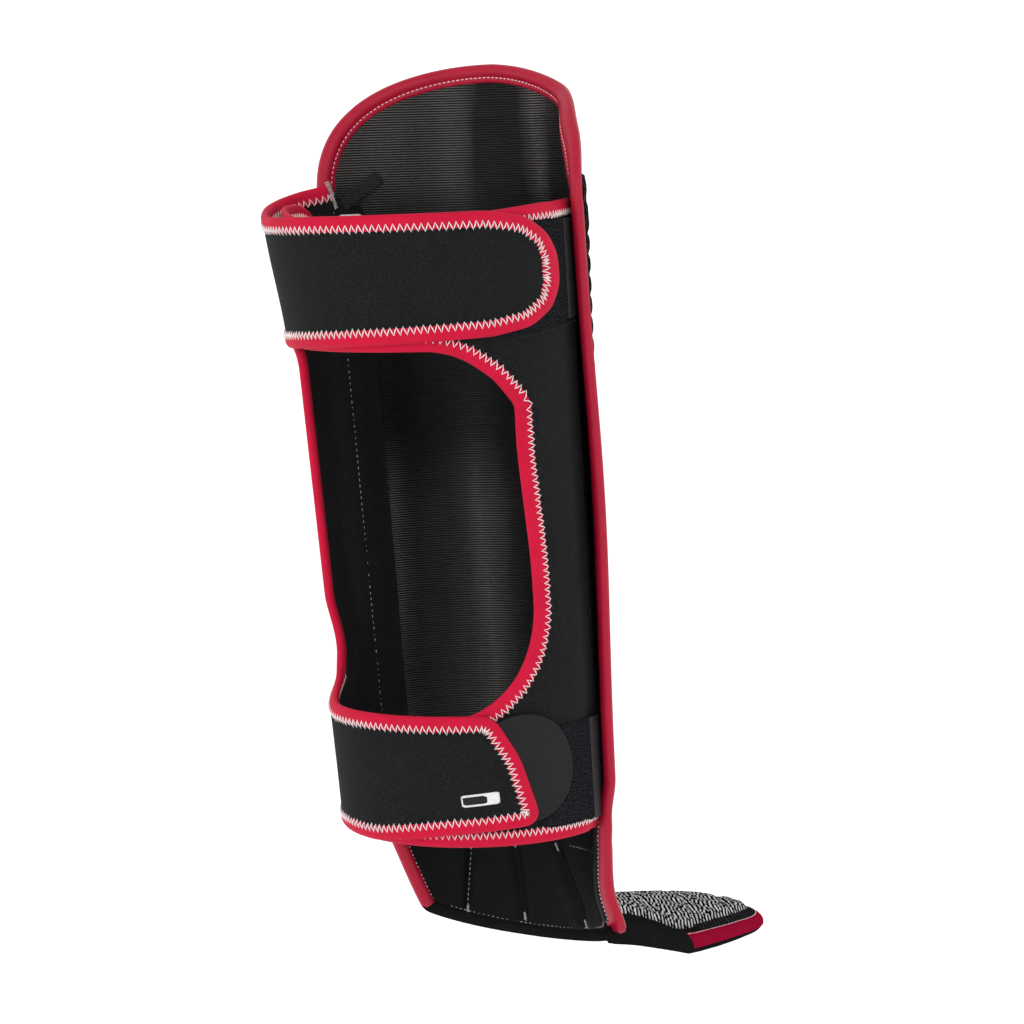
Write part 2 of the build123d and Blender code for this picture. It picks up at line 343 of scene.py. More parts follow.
def fill_loop(loop, spacing, rings):
    """Triangles that fill a counter-clockwise loop: its edge, rings inside it and a grid.

    Returns the flat points, the triangles and the edge's points in order.
    """
    parts = [loop]
    for ring in rings:
        parts.append(grow(loop, ring))
    low, high = loop.min(0), loop.max(0)
    xs = np.arange(low[0] + spacing / 2, high[0], spacing)
    ys = np.arange(low[1] + spacing / 2, high[1], spacing * 0.87)
    grid = np.array([(x + (spacing / 2 if j % 2 else 0), y) for j, y in enumerate(ys) for x in xs])
    margin = (max(rings) if rings else 0) + spacing * 0.5
    grid = grid[inside(grid, loop)]
    if len(grid):
        parts.append(grid[distance_to(grid, loop) > margin])
    points = np.vstack(parts)
    edges = [(i, (i + 1) % len(loop)) for i in range(len(loop))]
    found = delaunay_2d_cdt([Vector(p) for p in points], edges, [], 1, 1e-4)
    flat = np.array([(v.x, v.y) for v in found[0]])
    border = {}
    for made, sources in enumerate(found[3]):
        for source in sources:
            border[source] = made
    return flat, [tuple(f) for f in found[2]], [border[i] for i in range(len(loop))]


LAYOUTS = {}  # flat coordinates, distance to the edge and upper face of each sheet's points


def sheet_between(name, loop, place, low, high, roll=1.0, spacing=3.2, rings=(0.25, 0.9, 2.0),
                  bound=None):
    """Closed sheet or pad that fills a flat loop, its edge rounded over `roll` millimetres.

    low and high are its two faces: numbers, or functions of across, up and the distance to the
    edge. bound lists the open paths that are rounded when the rest of the edge is cut square.
    """
    loop = counter_clockwise(loop)
    flat, faces, border = fill_loop(loop, spacing, rings)
    gap = distance_to(flat, loop)
    reach = gap if bound is None else np.min([distance_to(flat, p, False) for p in bound], 0)
    reach[reach < 1e-3] = 0
    x, y = flat[:, 0], flat[:, 1]
    bottom = low(x, y, gap) if callable(low) else low + 0 * x
    top = high(x, y, gap) if callable(high) else high + 0 * x
    middle = (top + bottom) / 2
    crown = np.sqrt(1 - (1 - np.clip(reach / roll, 0, 1)) ** 2)
    upper = place(x, y, middle + (top - middle) * crown)
    lower = place(x, y, middle + (bottom - middle) * crown)
    count = len(flat)
    edge = set(border)
    other = [i if i in edge and reach[i] == 0 else i + count for i in range(count)]
    all_faces = faces + [tuple(other[i] for i in reversed(face)) for face in faces]
    for i, j in zip(border, border[1:] + border[:1]):
        wall = list(dict.fromkeys((j, i, other[i], other[j])))
        if len(wall) > 2:
            all_faces.append(tuple(wall))
    used = sorted({i for face in all_faces for i in face})
    renumber = {old: new for new, old in enumerate(used)}
    all_faces = [tuple(renumber[i] for i in face) for face in all_faces]
    layout = np.vstack([flat, flat])[used]
    gaps = np.r_[gap, gap][used]
    is_upper = np.array(used) < count
    LAYOUTS[name] = (layout[:, 0], layout[:, 1], gaps, is_upper)
    return mesh_object(name, np.vstack([upper, lower])[used], all_faces, layout)


def inflate(piece, fixed, cap=2.2):
    """Swells a pad by a short cloth simulation, by at most `cap` millimetres.

    `fixed` marks the points that are sewn down.
    """
    pins = piece.vertex_groups.new(name="sewn")
    pins.add([int(i) for i in np.flatnonzero(fixed)], 1.0, "REPLACE")
    cloth = piece.modifiers.new("cloth", "CLOTH")
    cloth.settings.quality = 5
    cloth.settings.vertex_group_mass = "sewn"
    cloth.settings.use_pressure = True
    cloth.settings.uniform_pressure_force = CLOTH_PRESSURE
    cloth.settings.shrink_min = -0.05
    cloth.settings.effector_weights.gravity = 0
    cloth.collision_settings.use_collision = False
    cloth.point_cache.frame_end = CLOTH_FRAMES
    scene = bpy.context.scene
    for frame_number in range(1, CLOTH_FRAMES + 1):
        scene.frame_set(frame_number)
    swollen = piece.evaluated_get(bpy.context.evaluated_depsgraph_get()).to_mesh()
    start = np.zeros(len(piece.data.vertices) * 3)
    end = start.copy()
    piece.data.vertices.foreach_get("co", start)
    swollen.vertices.foreach_get("co", end)
    move = (end - start).reshape(-1, 3)
    length = np.linalg.norm(move, axis=1)
    move *= np.minimum(1, cap * MM / np.maximum(length, 1e-9))[:, None]
    piece.modifiers.remove(cloth)
    piece.vertex_groups.remove(pins)
    piece.data.vertices.foreach_set("co", (start.reshape(-1, 3) + move).ravel())
    piece.data.update()
    scene.frame_set(1)


def edge_width(path, place, side, gain):
    """How wide a bound upright edge is laid: wider near the front, narrower at the far wing."""
    angle = place.angle(path[:, 0], path[:, 1])
    wide = gain * np.clip((130 - angle) / 32, 0, 1) * smooth(60, 90, angle)
    slim = 0.4 * smooth(238, 250, angle)
    return 1 + (wide - slim) * side[:, 0] ** 2


def sweep(name, path, place, profile, widen=0.0):
    """Profile (distance inwards, offset) swept along a flat path that has the piece on its left."""
    side = inward(path)
    width = edge_width(path, place, side, widen) if widen else np.ones(len(path))
    across, offset = np.array(profile, float).T
    run = np.r_[0, np.cumsum(np.linalg.norm(np.diff(path, axis=0), axis=1))]
    rings, layout = [], []
    for k, (point, normal) in enumerate(zip(path, side)):
        at = point + width[k] * across[:, None] * normal
        rings.append(place(at[:, 0], at[:, 1], offset))
        layout.append(np.stack([run[k] + 0 * across, np.arange(len(across)) * 1.2], -1))
    return mesh_object(name, np.vstack(rings), tube_faces(len(path), len(across)), np.vstack(layout))


def tube_faces(rings, size, first=0):
    """Walls and end caps of a tube whose points come ring by ring."""
    faces = []
    for i in range(first, first + (rings - 1) * size, size):
        faces += [(i + k, i + (k + 1) % size, i + size + (k + 1) % size, i + size + k)
                  for k in range(size)]
    faces.append(tuple(range(first + size - 1, first - 1, -1)))
    faces.append(tuple(range(first + (rings - 1) * size, first + rings * size)))
    return faces


def threads(name, lines, radius=THREAD_RADIUS):
    """One mesh of round threads. Each line is (points, outward directions), in metres."""
    sides = 5
    points, faces, layout, first = [], [], [], 0
    turn = np.linspace(0, 2 * math.pi, sides, endpoint=False)[:, None]
    for line, up in lines:
        d = np.gradient(line, axis=0)
        d /= np.maximum(np.linalg.norm(d, axis=1), 1e-12)[:, None]
        side = np.cross(d, up)
        side /= np.maximum(np.linalg.norm(side, axis=1), 1e-12)[:, None]
        over = np.cross(side, d)
        taper = np.ones((len(line), 1, 1))
        taper[[0, -1]] = 0.45
        ring = np.cos(turn) * side[:, None] + np.sin(turn) * over[:, None]
        faces += tube_faces(len(line), sides, first)
        first += len(line) * sides
        points.append((line[:, None] + radius * MM * taper * ring).reshape(-1, 3))
        run = np.repeat(np.arange(len(line)) * 0.6, sides)
        layout.append(np.stack([run, np.tile(np.arange(sides) * 0.3, len(line))], -1))
    return mesh_object(name, np.vstack(points), faces, np.vstack(layout))


def zigzag(name, path, inner_paths, place, top, bottom, widen):
    """Zigzag stitching through a binding and the sheet in it, seen on both faces."""
    lines = []
    for sign, surface, course in [(1, top, path)] + [(-1, bottom, part) for part in inner_paths]:
        fine = resample(course, STITCH_STEP / 2)
        side = inward(fine)
        width = edge_width(fine, place, side, widen)
        count = len(fine)
        phase = np.arange(count) % 4
        swing = np.array([-1, 0, 1, 0])[phase] * STITCH_REACH
        wobble = np.array([noise.noise((k * 0.37, sign, course[0, 0])) for k in range(count)])
        inset = STITCH_INSET + swing * (1 + 0.2 * wobble) / np.sqrt(width) + 0.3 * wobble
        flat = fine + (inset * width)[:, None] * side
        on_binding = smooth(BINDING_WIDTH + 0.3, BINDING_WIDTH - 0.5, inset)
        height = np.where(phase % 2 == 1, 0.4, 0.05) + BINDING_SWELL * on_binding
        offset = surface + sign * height
        lines.append(laid_line(place, flat, offset, sign))
    return threads(name, lines)


def dashes(path, place, inset, offset, pitch=2.5, length=1.7, sign=1):
    """Lines of a running stitch that follows a flat path at an inset."""
    grain = 0.25
    course = resample(path + inset * inward(path), grain)
    stride, dash = int(pitch / grain), int(length / grain)
    lines = []
    for k, first in enumerate(range(0, len(course) - dash, stride)):
        piece = course[first:first + dash + 1:max(1, dash // 3)]
        if len(piece) < 3:
            continue
        bow = np.sin(np.linspace(0, math.pi, len(piece))) * 0.22 - 0.08
        jitter = 0.12 * noise.noise((k * 0.71, inset, 3.0))
        lines.append(laid_line(place, piece + jitter, offset + sign * bow, sign))
    return lines


def laid_line(place, flat, offset, sign):
    """A thread's points and its outward directions, from its flat course."""
    x, y = flat.T
    line = place(x, y, offset)
    return line, place(x, y, offset + sign) - line


def bar_tack(place, start, end, offset, turns, width):
    """Dense knot of thread between two flat points, on the inner face."""
    start, end = np.array(start, float), np.array(end, float)
    along = (end - start) / np.linalg.norm(end - start)
    side = np.array([-along[1], along[0]])
    share = np.linspace(0, 1, turns * 2 + 1)
    swing = np.where(np.arange(len(share)) % 2, 1, -1) * width / 2
    flat = start + share[:, None] * (end - start) + swing[:, None] * side
    return laid_line(place, flat, offset - 0.3 + 0 * share, -1)


def binding_profile(bottom, top):
    """Knit tape folded round an edge: flat on both faces, round at the fold."""
    swell, width = BINDING_SWELL, BINDING_WIDTH
    middle = (bottom + top) / 2
    face = ((width, -0.25), (width - 0.35, swell * 0.8), (width * 0.6, swell * 1.25),
            (width * 0.25, swell * 1.1), (0.6, swell * 0.35))
    upper = [(reach, top + rise) for reach, rise in face]
    lower = [(reach, bottom - rise) for reach, rise in reversed(face)]
    fold = [(-0.35, middle + (top - middle) * 0.62), (-0.6, middle),
            (-0.35, middle + (bottom - middle) * 0.62)]
    return upper + fold + lower


# Materials ----------------------------------------------------------------------------------

def rgba(colour):
    """A grey or a colour as four channels; a socket stays a socket."""
    if isinstance(colour, bpy.types.NodeSocket):
        return colour
    return (*colour, 1) if isinstance(colour, (tuple, list)) else (colour, colour, colour, 1)


class Shader:
    """A node material on the Principled shader, with small helpers for its textures."""

    def __init__(self, name, roughness, **sockets):
        self.material = bpy.data.materials.new(name)
        self.material.use_nodes = True
        self.tree = self.material.node_tree
        self.nodes = self.tree.nodes
        self.surface = self.nodes["Principled BSDF"]
        self.set("Roughness", roughness)
        for socket, value in sockets.items():
            self.set(socket.replace("_", " "), value)
        coordinates = self.nodes.new("ShaderNodeTexCoord")
        self.flat = coordinates.outputs["UV"]
        self.solid = coordinates.outputs["Object"]

    def set(self, socket, value):
        self.surface.inputs[socket].default_value = value

    def link(self, output, socket):
        self.tree.links.new(output, socket)

    def node(self, kind, inputs=None, **settings):
        made = self.nodes.new(kind)
        for key, value in settings.items():
            setattr(made, key, value)
        self.fill(made, (inputs or {}).items())
        return made

    def mapping(self, source, scale=(1, 1, 1), turn=0.0):
        made = self.node("ShaderNodeMapping", {"Vector": source, "Scale": scale,
                                               "Rotation": (0, 0, turn)})
        return made.outputs[0]

    def texture(self, kind, source, scale, inputs=(), output="Fac", **settings):
        made = self.node("ShaderNodeTex" + kind, {"Vector": source, "Scale": scale, **dict(inputs)},
                         **settings)
        return made.outputs[output]

    def grain(self, scale, source=None, **settings):
        """Cells for leather grain, knit loops or pile."""
        return self.texture("Voronoi", source or self.solid, scale, output="Distance", **settings)

    def cords(self, direction, scale, **inputs):
        """Fine parallel cords, across or along the flat layout."""
        inputs = {key.replace("_", " "): value for key, value in inputs.items()}
        return self.texture("Wave", self.flat, scale, inputs, bands_direction=direction)

    def noise(self, source, scale, detail=3.0, rough=0.55):
        return self.texture("Noise", source, scale, {"Detail": detail, "Roughness": rough})

    def math(self, operation, a, b):
        made = self.node("ShaderNodeMath", operation=operation)
        self.fill(made, ((0, a), (1, b)))
        return made.outputs[0]

    def fill(self, made, values):
        for key, value in values:
            if isinstance(value, bpy.types.NodeSocket):
                self.link(value, made.inputs[key])
            else:
                made.inputs[key].default_value = value

    def ramp(self, factor, *stops):
        """Colour ramp with stops (position, grey or colour)."""
        made = self.node("ShaderNodeValToRGB", {"Fac": factor})
        elements = made.color_ramp.elements
        while len(elements) < len(stops):
            elements.new(0.5)
        for element, (position, colour) in zip(elements, stops):
            element.position = position
            element.color = rgba(colour)
        return made.outputs["Color"]

    def mix(self, factor, a, b, blend="MIX"):
        made = self.node("ShaderNodeMix", data_type="RGBA", blend_type=blend)
        self.fill(made, ((0, factor), (6, rgba(a)), (7, rgba(b))))
        return made.outputs[2]

    def colour(self, output):
        self.link(output, self.surface.inputs["Base Color"])

    def roughness(self, output):
        self.link(output, self.surface.inputs["Roughness"])

    def bumps(self, *layers):
        """Adds bump layers, each (height, strength, distance in metres), and returns the material."""
        normal = None
        for height, strength, distance in layers:
            made = self.node("ShaderNodeBump", {"Height": height, "Strength": strength,
                                                "Distance": distance})
            if normal is not None:
                self.link(normal, made.inputs["Normal"])
            normal = made.outputs[0]
        self.link(normal, self.surface.inputs["Normal"])
        return self.material


def neoprene_material():
    """Black knit laid on neoprene: fine loops with a few lighter fibres."""
    s = Shader("neoprene", 0.85, Sheen_Weight=0.02, Specular_IOR_Level=0.05)
    loops = s.grain(14.0, s.mapping(s.flat, (1.0, 0.75, 1)))
    fibres = s.noise(s.solid, 2600.0, 2.0)
    clouds = s.noise(s.solid, 26.0)
    ground = s.mix(clouds, (0.0058, 0.0060, 0.0063), (0.0085, 0.0088, 0.0092))
    speck = s.ramp(fibres, (0.55, 0.0), (0.72, (0.026, 0.027, 0.028)))
    s.colour(s.mix(1.0, ground, speck, "ADD"))
    return s.bumps((loops, 0.25, 0.0004), (fibres, 0.2, 0.0003), (clouds, 0.25, 0.0012))


def binding_material():
    """Crimson knit tape with fine cross ribs."""
    s = Shader("red_binding", 0.7, Sheen_Weight=0.02, Specular_IOR_Level=0.10)
    ribs = s.cords("X", 4.2, Distortion=1.2, Detail=2.0, Detail_Scale=3.0)
    clouds = s.noise(s.solid, 60.0)
    s.colour(s.mix(clouds, (0.41, 0.0035, 0.027), (0.52, 0.006, 0.038)))
    return s.bumps((ribs, 0.10, 0.0002), (clouds, 0.3, 0.0008))


def piping_material(name="red_piping", gloss=0.2, painted_shade=1.0):
    """Red leatherette: fine grain, slightly glossy, its colour darker where its broad bumps dip."""
    s = Shader(name, 0.46, Specular_IOR_Level=gloss)
    grain = s.grain(1700.0)
    clouds = s.noise(s.solid, 70.0, 4.0)
    # A factor below 1 darkens the whole copy evenly: a painted shadow for a piece that sits in shade.
    s.colour(s.mix(clouds, (0.29 * painted_shade, 0.0032, 0.020), (0.40 * painted_shade, 0.0055, 0.031)))
    s.roughness(s.ramp(clouds, (0.3, 0.36), (0.7, 0.5)))
    return s.bumps((grain, 0.16, 0.0002), (clouds, 0.3, 0.0008))


def satin_material():
    """Black satin with fine horizontal ribs, and upright stripes of painted highlight in its colour.

    The stripes differ above the upper strap, and a painted shadow darkens it behind the strap.
    """
    s = Shader("satin_lining", 0.33, Specular_IOR_Level=0.12)
    ribs = s.cords("Y", 2.83, Distortion=0.15, Detail=1.0, Detail_Scale=3.0)
    slubs = s.noise(s.mapping(s.flat, (1.2, 9.0, 1)), 6.0)
    folds = s.noise(s.mapping(s.flat, (0.5, 0.11, 1)), 1.0, 2.0)
    flat = s.node("ShaderNodeSeparateXYZ", {"Vector": s.flat})
    across = s.math("MULTIPLY", s.math("ADD", flat.outputs[0], 7.1), 1 / 12)
    place = s.math("ADD", across, s.math("MULTIPLY", folds, 0.15))
    # Painted highlight: upright stripes painted into the colour round the lining; one set below about
    # 315 mm up, another above about 360 mm.
    painted_sheen_open = s.ramp(place, (0.00, 0.05), (0.07, 1.0), (0.11, 1.0), (0.16, 0.42), (0.22, 0.20),
                        (0.34, 0.22), (0.41, 0.42), (0.48, 1.0), (0.53, 0.62), (0.59, 0.16),
                        (0.70, 0.05))
    painted_sheen_top = s.ramp(place, (0.00, 0.72), (0.10, 0.85), (0.30, 0.52), (0.42, 0.80), (0.48, 0.62),
                       (0.54, 0.14), (0.72, 0.12), (0.83, 1.0), (0.87, 0.9), (0.93, 0.25))
    height = s.math("MULTIPLY", flat.outputs[1], 1 / 45)
    painted_sheen_bands = s.mix(s.ramp(height, (0.70, 0.0), (0.80, 1.0)), painted_sheen_open, painted_sheen_top)
    # Painted shadow: darker between about 210 and 355 mm up, behind the upper strap; it is fixed on the
    # lining, so it stays when the strap opens.
    painted_shade = s.ramp(height, (0.46, 1.0), (0.54, 0.15), (0.75, 0.12), (0.79, 1.0))
    # The painted highlight, dimmed where the painted shadow lies.
    painted_sheen = s.mix(painted_shade, 0.0, painted_sheen_bands)
    thread = s.ramp(ribs, (0.35, 0.0), (0.8, (0.26, 0.25, 0.24)))
    s.colour(s.mix(slubs, s.mix(1.0, thread, painted_sheen, "MULTIPLY"), 0.004))
    clouds = s.noise(s.solid, 40.0)
    return s.bumps((ribs, 0.6, 0.0006), (slubs, 0.1, 0.0003), (clouds, 0.4, 0.0016))


def leatherette_material(name, low, high, roughness, gloss=0.0):
    """Black synthetic leather: pebbled grain and soft broad creases."""
    s = Shader(name, roughness, Specular_IOR_Level=gloss)
    grain = s.grain(1150.0)
    clouds = s.noise(s.solid, 45.0, 4.0)
    s.colour(s.mix(clouds, low, high))
    s.roughness(s.ramp(clouds, (0.3, roughness - 0.06), (0.7, roughness + 0.08)))
    return s.bumps((grain, 0.22, 0.00025), (clouds, 0.35, 0.001))


def woven_material(name, light, dark, roughness):
    """Flat woven bars, light over dark, in slanted rows."""
    s = Shader(name, roughness, Specular_IOR_Level=0.0)
    slanted = s.mapping(s.flat, turn=0.90)
    bars = s.node("ShaderNodeTexBrick", {
        "Vector": slanted, "Scale": 1.0, "Brick Width": 0.95, "Row Height": 0.205, "Bias": 0.0,
        "Mortar Size": 0.066, "Mortar Smooth": 0.3, "Mortar": rgba(dark),
        "Color1": rgba(light), "Color2": rgba([c * 0.7 for c in light])}, offset=0.37)
    wear = s.ramp(s.noise(s.solid, 130.0), (0.45, 0.0), (0.75, 0.35))
    s.colour(s.mix(wear, bars.outputs["Color"], dark))
    fibre = s.noise(s.mapping(slanted, (3.0, 40.0, 1)), 4.0, 2.0)
    raised = s.math("SUBTRACT", 1.0, bars.outputs["Fac"])
    return s.bumps((raised, 0.8, 0.0006), (fibre, 0.2, 0.0002))


def loop_material():
    """Hook-and-loop pile: a tangled grey-black nap."""
    s = Shader("loop_fabric", 0.9, Specular_IOR_Level=0.0)
    tangle = s.noise(s.mapping(s.flat, (1.0, 1.6, 1)), 9.0, 6.0, 0.75)
    curls = s.grain(8.0, s.mapping(s.flat, (1, 1.4, 1)), feature="DISTANCE_TO_EDGE")
    s.colour(s.ramp(tangle, (0.42, (0.002, 0.002, 0.0025)), (0.66, (0.042, 0.044, 0.050))))
    return s.bumps((tangle, 0.9, 0.0012), (curls, 0.5, 0.0008))


def rubber_material():
    """Dark matt rubber with a faint pebble and scuffs."""
    s = Shader("tab_rubber", 0.55, Specular_IOR_Level=0.12)
    scuffs = s.noise(s.mapping(s.solid, (1, 1, 0.3)), 90.0, 5.0, 0.7)
    s.colour(s.mix(scuffs, (0.009, 0.009, 0.0093), (0.014, 0.014, 0.0145)))
    s.roughness(s.ramp(scuffs, (0.35, 0.5), (0.7, 0.68)))
    return s.bumps((s.noise(s.solid, 1500.0, 2.0), 0.12, 0.0002))


def thread_material(name, colour):
    """Twisted sewing thread."""
    s = Shader(name, 0.7, Specular_IOR_Level=0.2)
    s.colour(s.mix(s.noise(s.solid, 220.0, 2.0), [c * 0.82 for c in colour], colour))
    return s.bumps((s.cords("DIAGONAL", 3.0), 0.5, 0.0002))


def label_material(name, grey):
    """Woven label cloth."""
    s = Shader(name, 0.7, Specular_IOR_Level=0.2)
    s.colour(s.mix(s.noise(s.solid, 900.0, 2.0), grey * 0.8, grey))
    return s.bumps((s.texture("Checker", s.flat, 30.0), 0.2, 0.0002))


def selvage_material():
    """Smooth edge of the loop tape: close lengthwise cords, slightly shiny."""
    s = Shader("selvage", 0.5, Specular_IOR_Level=0.3)
    cords = s.cords("X", 3.0)
    s.colour(s.ramp(cords, (0.2, (0.006, 0.007, 0.008)), (0.8, (0.015, 0.016, 0.019))))
    return s.bumps((cords, 0.5, 0.0003))


def elastic_material():
    """Black elastic webbing with lengthwise cords."""
    s = Shader("elastic", 0.6, Specular_IOR_Level=0.2)
    cords = s.cords("Y", 3.2)
    s.colour(s.ramp(cords, (0.2, 0.006), (0.8, 0.022)))
    return s.bumps((cords, 0.6, 0.0004), (s.cords("X", 5.0), 0.25, 0.0002))


LEATHERETTE_GREYS = (0.006, 0.011)

MATERIALS = {
    "neoprene": neoprene_material(),
    "red_binding": binding_material(),
    "red_piping": piping_material(),
    # The toe's piping is the same red leatherette, darkened to 0.7 of its colour as a painted shadow.
    "toe_piping_painted_shade": piping_material("toe_piping_painted_shade", 0.0, 0.7),
    "satin_lining": satin_material(),
    "smooth_leatherette": leatherette_material("smooth_leatherette", 0.0030, 0.0055, 0.42, 0.05),
    "shell_leatherette": leatherette_material("shell_leatherette", *LEATHERETTE_GREYS, 0.48),
    "cover_leatherette": leatherette_material("cover_leatherette", *LEATHERETTE_GREYS, 0.5),
    "woven_pad": woven_material("woven_pad", (0.60, 0.60, 0.60), (0.004, 0.004, 0.0045), 0.42),
    "dark_woven_pad": woven_material("dark_woven_pad", (0.035, 0.035, 0.037), (0.006,) * 3, 0.5),
    "loop_fabric": loop_material(),
    "tab_rubber": rubber_material(),
    "label_white": label_material("label_white", 0.72),
    "label_black": label_material("label_black", 0.010),
    "selvage": selvage_material(),
    "elastic": elastic_material(),
    "thread": thread_material("thread_white", (0.90, 0.78, 0.78)),
    "grey_thread": thread_material("thread_grey", (0.50, 0.48, 0.47)),
    "dark_thread": thread_material("thread_dark", (0.03, 0.03, 0.03)),
}


def finish_piece(piece, look, replaces=(), body="root", bend=None):
    """Gives a piece its material and hides the parts it stands for. It rides on its body, unless it is
    given a bend: then its transform is only baked in.
    """
    piece.data.materials.append(MATERIALS[look])
    if bend:
        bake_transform(piece)
    else:
        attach(piece, body)
    if replaces:
        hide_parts(*replaces)


def sew(name, lines, look="thread", radius=THREAD_RADIUS, body="root"):
    finish_piece(threads(name, lines, radius), look, body=body)


# Camera and stage ---------------------------------------------------------------------------

def add_camera():
    """Long lens, behind the calf and a little above, towards the leg's outer side."""
    data = bpy.data.cameras.new("camera")
    data.sensor_width = 36
    data.lens = 115.0
    data.clip_end = 20
    camera = bpy.data.objects.new("camera", data)
    bpy.context.scene.collection.objects.link(camera)
    ahead = Vector((0.5019, -0.8573, -0.1145)).normalized()
    right = Vector((-0.8642, -0.5024, -0.0268)).normalized()
    above = right.cross(ahead)
    turn = Matrix((right, above, -ahead)).transposed().to_4x4()
    camera.matrix_world = Matrix.Translation(Vector((-0.7478, 1.2476, 0.3760))) @ turn
    bpy.context.scene.camera = camera


def add_light(name, place, size, power):
    data = bpy.data.lights.new(name, "AREA")
    data.shape = "RECTANGLE"
    data.size, data.size_y = size
    data.energy = power
    lamp = bpy.data.objects.new(name, data)
    bpy.context.scene.collection.objects.link(lamp)
    aim = Vector((0, 0, 0.2)) - Vector(place)
    lamp.matrix_world = Matrix.Translation(place) @ aim.to_track_quat("-Z", "Y").to_matrix().to_4x4()


def add_floor():
    """Pale floor that curves up into a backdrop all round."""
    height = -0.102  # clear of the toe at the instep's lowest pose
    radius, bend, wall, sides = 2.4, 0.8, 2.6, 64
    rings = [(r, height) for r in (0.001, 0.5, 1.2, radius)]
    for a in (math.pi / 2 * k / 8 for k in range(1, 9)):
        rings.append((radius + bend * math.sin(a), height + bend * (1 - math.cos(a))))
    rings.append((radius + bend, wall))
    turns = [2 * math.pi * k / sides for k in range(sides)]
    points = [(r * math.cos(a), r * math.sin(a), z) for r, z in rings for a in turns]
    faces = [(i + k, i + (k + 1) % sides, i + sides + (k + 1) % sides, i + sides + k)
             for i in range(0, (len(rings) - 1) * sides, sides) for k in range(sides)]
    floor = mesh_object("stage_floor", points, faces)
    s = Shader("stage", 0.9, Emission_Color=(1, 1, 1, 1), Emission_Strength=0.2)
    s.colour(s.mix(s.noise(s.solid, 3.0), 0.90, 0.93))
    floor.data.materials.append(s.material)
    floor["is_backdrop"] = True


def add_lighting():
    """A bright even sky and four soft lamps."""
    world = bpy.data.worlds.new("world")
    world.use_nodes = True
    sky = world.node_tree.nodes["Background"].inputs
    sky["Color"].default_value = (1, 1, 1, 1)
    sky["Strength"].default_value = 0.86
    bpy.context.scene.world = world
    bpy.context.scene.view_settings.view_transform = "Standard"
    add_light("key", (-1.6, 1.4, 1.5), (1.0, 1.0), 9)
    add_light("fill", (1.5, 1.8, 0.9), (1.2, 1.2), 6)
    add_light("rim", (-0.4, -1.8, 1.2), (1.2, 0.8), 2)
    add_light("strip", (-0.15, 2.1, 0.45), (0.35, 1.3), 5)


# Wings and straps ---------------------------------------------------------------------------

def outline(corners, fold, step=1.6):
    """Closed counter-clockwise flat path through corners given as (angle, height, radius)."""
    return counter_clockwise(rounded([(*fold.flat(a, up), r) for a, up, r in corners], True, step))


def soft_wave(seed, size, amount):
    """Low bumps of soft fabric, about `size` long (across, up), as a function of the flat layout."""
    def wave(x, y):
        return np.array([amount * noise.noise((a / size[0], b / size[1], seed)) for a, b in zip(x, y)])
    return wave


def lifted(surface, rise):
    """A face for sheet_between that lies at an even distance from a surface."""
    return lambda x, y, gap: surface(x, y) + rise


def bound_piece(loop, keep, bound, fold, layer, nodes, seed, bend=None, thin=None, widen=0.72,
                inner_from=0.0):
    """Neoprene sheet cut from a flat outline, with a taped and zigzag-stitched edge.

    keep and bound say, as positive values, which part of the outline is this piece and which
    part of its edge is taped. The inner face's stitches start at the height inner_from.
    """
    low, high = layer
    name = nodes[0] + "_sheet"
    kept = stretches(loop, keep)
    whole = refine(np.vstack(kept), 2.2)
    runs = [resample(run, 1.6) for part in kept for run in stretches(part, bound, False)]
    wave = soft_wave(seed, (34.0, 34.0), 0.35)
    thinner = thin or (lambda x, y: 0 * x)
    sheet = sheet_between(name, whole, fold, lifted(wave, low),
                          lambda x, y, gap: high + wave(x, y) - thinner(x, y), roll=0.9, bound=runs)
    finish_piece(sheet, "neoprene", nodes, bend=bend)
    for k, run in enumerate(runs):
        tag = "" if len(runs) == 1 else "_" + "abcd"[k]
        tape = sweep(name + "_binding" + tag, run, fold, binding_profile(low, high), widen)
        inner = stretches(run, lambda p: p[:, 1] - inner_from, False)
        seam = zigzag(name + "_zigzag" + tag, run, inner, fold, high, low, widen)
        finish_piece(tape, "red_binding", (nodes[0] + "_binding",), bend=bend)
        finish_piece(seam, "thread", bend=bend)


def make_near_wing():
    fold = Fold(150, near_wing_lift)
    corners = [
        (WING_ROOT, 67.5, 0), (92, 70, 60), (262, 70, 20), (262, 104, 20), (226, 119, 60),
        (195, 125, 60), (114.6, 125, 54), (114.4, 196, 260), (117.4, 244, 200), (116.8, 262.5, 6),
        (126, 274.7, 26), (142, 287.4, 40), (276, 287.4, 22), (276, 348, 22), (240, 347.4, 60),
        (205, 342.2, 60), (140, 342.4, 60), (100, 346.6, 90), (WING_ROOT, 347.8, 0),
    ]
    loop = outline(corners, fold)

    def bound(points):
        return fold.angle(points[:, 0], points[:, 1]) - WING_ROOT - 0.4

    loop = np.roll(loop, -int(np.argmin(bound(loop))), 0)
    bound_piece(loop, lambda points: np.ones(len(points)), bound, fold, WING, ("near_wing",), 2.0,
                widen=0.4)


FAR_FOLD = Fold(190, wing_lift)
FAR_CORNERS = [
    (FLANGE_END, 73, 0), (FLANGE_END, 346, 5), (283, 350, 3), (281.5, 356, 1.2), (256, 349.4, 60),
    (224, 343.4, 60), (126, 344.6, 30), (110, 342.0, 20), (99.6, 334.6, 16), (94.4, 325, 14),
    (94.2, 313, 14), (99.2, 303.4, 16), (110, 296.2, 20), (126, 293, 30), (222, 287.8, 80),
    (253.5, 286.5, 12), (254.5, 128.6, 40), (139.5, 128.6, 9), (129.6, 109.5, 40),
    (121.8, 79.6, 6), (160, 76.4, 60), (196, 71.2, 60), (282, 73, 0),
]


